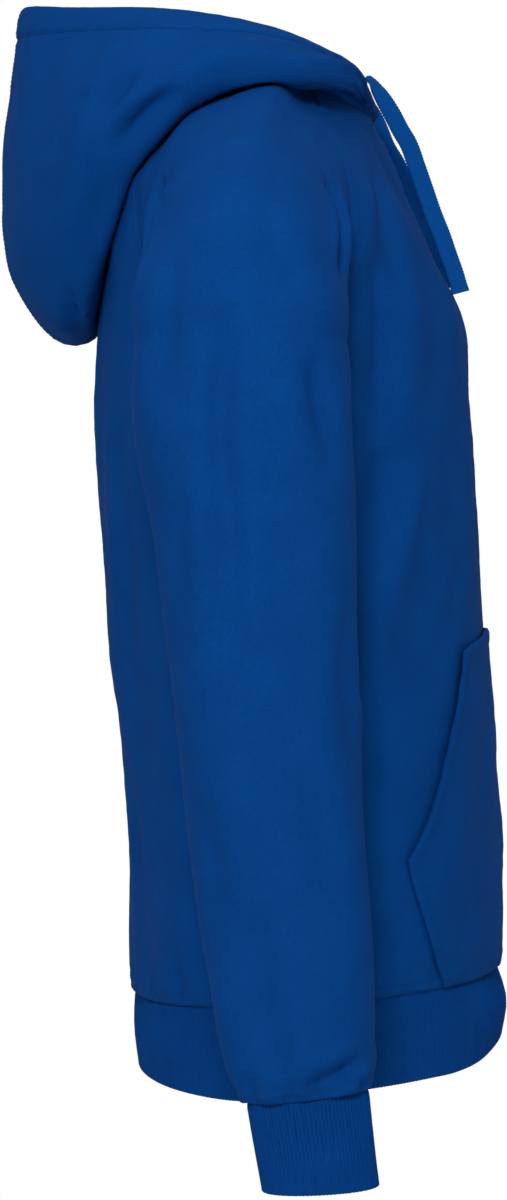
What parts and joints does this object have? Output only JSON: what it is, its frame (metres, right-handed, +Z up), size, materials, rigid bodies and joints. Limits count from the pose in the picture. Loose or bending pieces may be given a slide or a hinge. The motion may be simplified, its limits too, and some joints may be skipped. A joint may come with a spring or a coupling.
{
  "type": "pullover hoodie",
  "caption": "Pullover hoodie in its worn shape with nobody in it: raglan sleeves, kangaroo pocket, rib cuffs and hem band, open hood and flat drawcords.",
  "frame": {"origin": "the point between the shoulders at which the wearer carries the garment, in the middle of the neck opening", "axes": "+Z up along the wearer's spine, the front of the garment towards -Y, the wearer's right sleeve towards -X"},
  "size_m": [0.6572, 0.3676, 0.8127],
  "materials": {
    "cloth": "brushed sweatshirt knit, matt royal blue",
    "rib": "1x1 rib knit, matt royal blue",
    "braid": "flat woven braid, matt royal blue"
  },
  "bodies": {
    "root": {"front": "cloth", "back": "cloth", "sleeve_right": "cloth", "sleeve_left": "cloth", "cuff_right": "rib", "cuff_left": "rib", "hem_band": "rib", "hood_right": "cloth", "hood_left": "cloth", "pocket": "cloth", "drawcord_right": "braid", "drawcord_left": "braid"}
  },
  "joints": []
}
